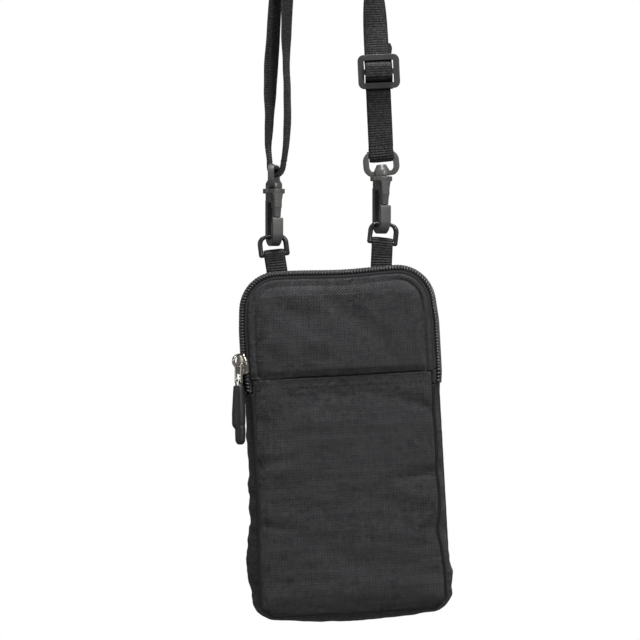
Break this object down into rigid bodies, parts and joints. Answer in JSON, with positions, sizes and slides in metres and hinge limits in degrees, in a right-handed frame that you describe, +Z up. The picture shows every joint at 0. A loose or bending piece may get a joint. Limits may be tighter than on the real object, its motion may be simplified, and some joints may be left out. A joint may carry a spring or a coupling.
{
  "type": "phone pouch",
  "caption": "Slim padded phone pouch with a round-top zip, a slip pocket and swivel hooks that clip it to a webbing strap.",
  "frame": {"origin": "underside of the strap at the top of its loop, where it rests on what carries it", "axes": "+X right in the picture, +Y away from the viewer, +Z up"},
  "size_m": [0.1137, 0.0308, 0.3763],
  "materials": {
    "shell_fabric": "charcoal ripstop nylon",
    "binding_tape": "woven nylon tape",
    "padding": "soft foam padding",
    "lining": "thin woven lining",
    "zip_chain": "black nylon teeth on woven tape",
    "nickel": "polished nickel plate",
    "grip_rubber": "moulded satin black",
    "webbing": "ribbed nylon webbing",
    "ring_metal": "smooth black",
    "hook_plastic": "satin black moulding"
  },
  "bodies": {
    "strap": {"strap_arch": "webbing", "strap_twist": "webbing", "strap_slack": "webbing", "strap_front": "webbing", "strap_return": "webbing", "strap_strands": "webbing", "strap_lap": "webbing", "hook_left": "hook_plastic", "hook_right": "hook_plastic"},
    "adjuster": {"adjuster": "hook_plastic", "strap_weave": "webbing", "strap_end_loop": "webbing"},
    "eye_left": {"eye_left": "hook_plastic", "bend_left": "webbing"},
    "eye_right": {"eye_right": "hook_plastic", "bend_right": "webbing"},
    "gate_left": {"gate_left": "hook_plastic"},
    "gate_right": {"gate_right": "hook_plastic"},
    "ring_right": {"d_ring_right": "ring_metal"},
    "ring_left": {"d_ring_left": "ring_metal"},
    "flap": {"flap_panel": "shell_fabric", "flap_padding": "padding", "flap_lining": "lining", "flap_ridge": "shell_fabric", "zip_front": "zip_chain"},
    "zip_slider": {"zip_slider": "nickel"},
    "pull_loop": {"pull_loop": "nickel"},
    "puller": {"puller_clip": "nickel", "puller_grip": "grip_rubber"},
    "pouch": {"back_panel": "shell_fabric", "back_padding": "padding", "back_lining": "lining", "back_binding": "binding_tape", "lower_gusset": "shell_fabric", "upper_gusset": "shell_fabric", "gusset_lining": "lining", "front_panel": "shell_fabric", "front_padding": "padding", "front_lining": "lining", "front_piping": "binding_tape", "pocket_panel": "shell_fabric", "pocket_hem": "shell_fabric", "zip_rear": "zip_chain", "zip_front_end": "zip_chain", "zip_stops": "nickel", "tab_left": "webbing", "tab_right": "webbing"}
  },
  "joints": [
    {"name": "ring_right_swing", "type": "hinge", "parent": "strap", "child": "ring_right", "pos_m": [0, 0, -0.172], "axis": [0.9934, 0, 0.1149], "range_deg": [-45, 45]},
    {"name": "pouch_swing", "type": "hinge", "parent": "ring_right", "child": "pouch", "pos_m": [0.00123, 0, -0.18263], "axis": [0.9934, 0, 0.1149], "range_deg": [-45, 45]},
    {"name": "ring_left_swing", "type": "hinge", "parent": "pouch", "child": "ring_left", "pos_m": [0.00123, 0, -0.18263], "axis": [0.9934, 0, 0.1149], "range_deg": [-45, 45]},
    {"name": "flap_fold", "type": "hinge", "parent": "pouch", "child": "flap", "pos_m": [0.0071, -0.0152, -0.2464], "axis": [0.9984, 0, 0.0558], "range_deg": [0, 75], "deforming": ["zip_front"]},
    {"name": "slider_slide", "type": "slide", "parent": "pouch", "child": "zip_slider", "axis": [-0.0558, 0, 0.9984], "range_m": [-0.008, 0.017], "deforming": ["zip_front", "zip_rear", "zip_front_end"]},
    {"name": "pull_swing", "type": "hinge", "parent": "zip_slider", "child": "pull_loop", "pos_m": [-0.04485, -0.01495, -0.24074], "axis": [-0.706, 0.7071, -0.0395], "range_deg": [0, 135]},
    {"name": "puller_swing", "type": "hinge", "parent": "pull_loop", "child": "puller", "pos_m": [-0.04485, -0.01548, -0.25023], "axis": [-0.706, 0.7071, -0.0395], "range_deg": [0, 45]},
    {"name": "left_swivel", "type": "hinge", "parent": "strap", "child": "eye_left", "pos_m": [-0.02777, 0, -0.15061], "axis": [0, 0, 1], "range_deg": [-180, 180], "deforming": ["strap_strands"]},
    {"name": "right_swivel", "type": "hinge", "parent": "strap", "child": "eye_right", "pos_m": [0.02777, 0, -0.14419], "axis": [0, 0, 1], "range_deg": [-180, 180], "deforming": ["strap_front", "strap_return"]},
    {"name": "gate_left_hinge", "type": "hinge", "parent": "strap", "child": "gate_left", "pos_m": [-0.02653, -0.00306, -0.16001], "axis": [0.9272, 0.3746, 0], "range_deg": [0, 14], "stiffness_Nm_per_rad": 0.02},
    {"name": "gate_right_hinge", "type": "hinge", "parent": "strap", "child": "gate_right", "pos_m": [0.029, -0.00306, -0.15359], "axis": [0.9272, 0.3746, 0], "range_deg": [0, 14], "stiffness_Nm_per_rad": 0.02},
    {"name": "adjuster_slide", "type": "slide", "parent": "strap", "child": "adjuster", "axis": [-0.0459, 0, 0.9989], "range_m": [-0.018, 0.012], "deforming": ["strap_slack", "strap_front", "strap_return"]}
  ],
  "couplings": [
    {"joint": "ring_left_swing", "follows": "pouch_swing", "ratio": -1}
  ]
}
